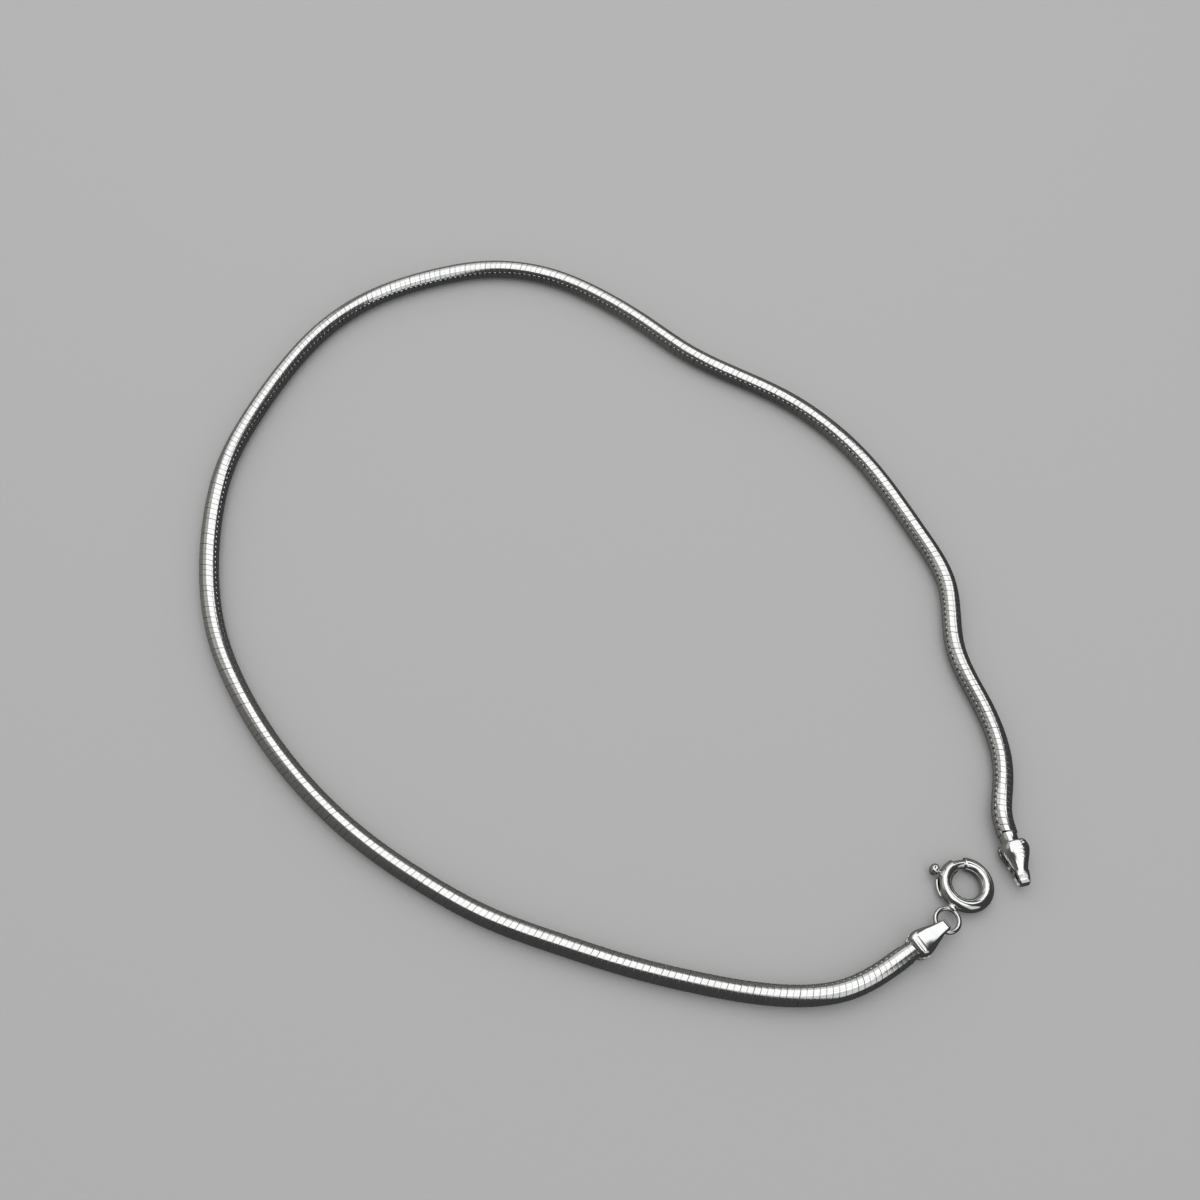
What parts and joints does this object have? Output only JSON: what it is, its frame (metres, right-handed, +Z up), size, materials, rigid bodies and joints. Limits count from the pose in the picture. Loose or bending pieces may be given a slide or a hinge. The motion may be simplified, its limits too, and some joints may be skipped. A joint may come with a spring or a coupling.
{
  "type": "snake chain necklace",
  "caption": "Open necklace of round snake chain lying flat in a loose loop, with folded end caps and a spring ring clasp whose sprung bolt slides open.",
  "frame": {"origin": "on the table, at the middle of the bounding box's bottom face", "axes": "+Z up from the table; +X to the right of the picture and +Y away from the viewer along the table"},
  "size_m": [0.1359, 0.1263, 0.0044],
  "materials": {
    "chain_silver": "bright polished silver links",
    "fitting_silver": "bright polished silver",
    "bolt_silver": "polished silver"
  },
  "bodies": {
    "necklace": {"chain": "chain_silver", "clasp_end_cap": "fitting_silver", "tail_end_cap": "fitting_silver", "clasp_ring": "fitting_silver"},
    "bolt": {"clasp_bolt": "bolt_silver"}
  },
  "joints": [
    {"name": "bolt_pull", "type": "hinge", "parent": "necklace", "child": "bolt", "pos_m": [0.05841, -0.04188, 0.00132], "axis": [0.0415, 0.0814, 0.9958], "range_deg": [0, 36], "stiffness_Nm_per_rad": 0.001, "springref_deg": -17.19}
  ]
}
